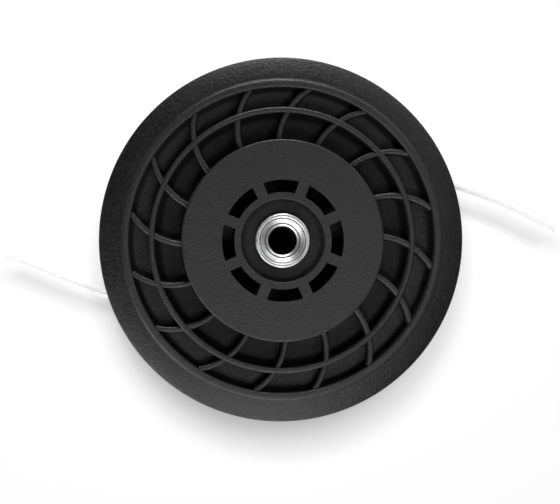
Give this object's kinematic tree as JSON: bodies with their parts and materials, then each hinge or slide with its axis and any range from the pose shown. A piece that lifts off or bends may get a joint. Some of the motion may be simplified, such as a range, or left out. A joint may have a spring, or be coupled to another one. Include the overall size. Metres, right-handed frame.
{
  "type": "string trimmer head",
  "caption": "Bump-feed line head for a grass trimmer: finned round housing with a threaded steel insert, sprung spool, lower cover, knob and two nylon lines.",
  "frame": {"origin": "on the axis of the head, at the flat foot of the knob that it stands on", "axes": "+Z along the axis towards the gearbox, +X and +Y across the head; the first eyelet lies 23 degrees from +X towards +Y"},
  "size_m": [0.2061, 0.131, 0.0605],
  "materials": {
    "black_nylon": "matt black glass-filled nylon, lightly textured",
    "spool_nylon": "silky black nylon, unfilled",
    "turned_steel": "turned bright steel with fine lathe rings",
    "spring_steel": "drawn spring wire",
    "line_nylon": "translucent whitish nylon monofilament"
  },
  "bodies": {
    "housing": {"upper_housing": "black_nylon", "arbor_insert": "turned_steel", "eyelet_1": "turned_steel", "eyelet_2": "turned_steel", "lower_cover": "black_nylon", "spring_seat": "turned_steel", "line_lead_1": "line_nylon", "line_lead_2": "line_nylon", "line_end_1": "line_nylon", "line_end_2": "line_nylon"},
    "feed_carriage": {"thrust_washer": "turned_steel", "bump_spring": "spring_steel"},
    "spool_unit": {"spool": "spool_nylon", "winding_upper": "line_nylon", "winding_lower": "line_nylon", "bump_knob": "black_nylon", "knob_screw": "turned_steel", "knob_washer": "turned_steel"},
    "latch_1": {"latch_button_1": "spool_nylon", "latch_spring_1": "spring_steel"},
    "latch_2": {"latch_button_2": "spool_nylon", "latch_spring_2": "spring_steel"}
  },
  "joints": [
    {"name": "bump", "type": "slide", "parent": "housing", "child": "feed_carriage", "axis": [0, 0, 1], "range_m": [0, 0.005], "stiffness_N_per_m": 3000, "springref_m": -0.008, "deforming": ["bump_spring"]},
    {"name": "line_feed", "type": "hinge", "parent": "feed_carriage", "child": "spool_unit", "pos_m": [0, 0, 0.03], "axis": [0, 0, 1], "continuous": true},
    {"name": "press_latch_1", "type": "slide", "parent": "housing", "child": "latch_1", "axis": [0.3907, -0.9205, 0], "range_m": [0, 0.0043], "stiffness_N_per_m": 400, "springref_m": -0.003, "deforming": ["latch_spring_1"]},
    {"name": "press_latch_2", "type": "slide", "parent": "housing", "child": "latch_2", "axis": [-0.3907, 0.9205, 0], "range_m": [0, 0.0043], "stiffness_N_per_m": 400, "springref_m": -0.003, "deforming": ["latch_spring_2"]}
  ]
}
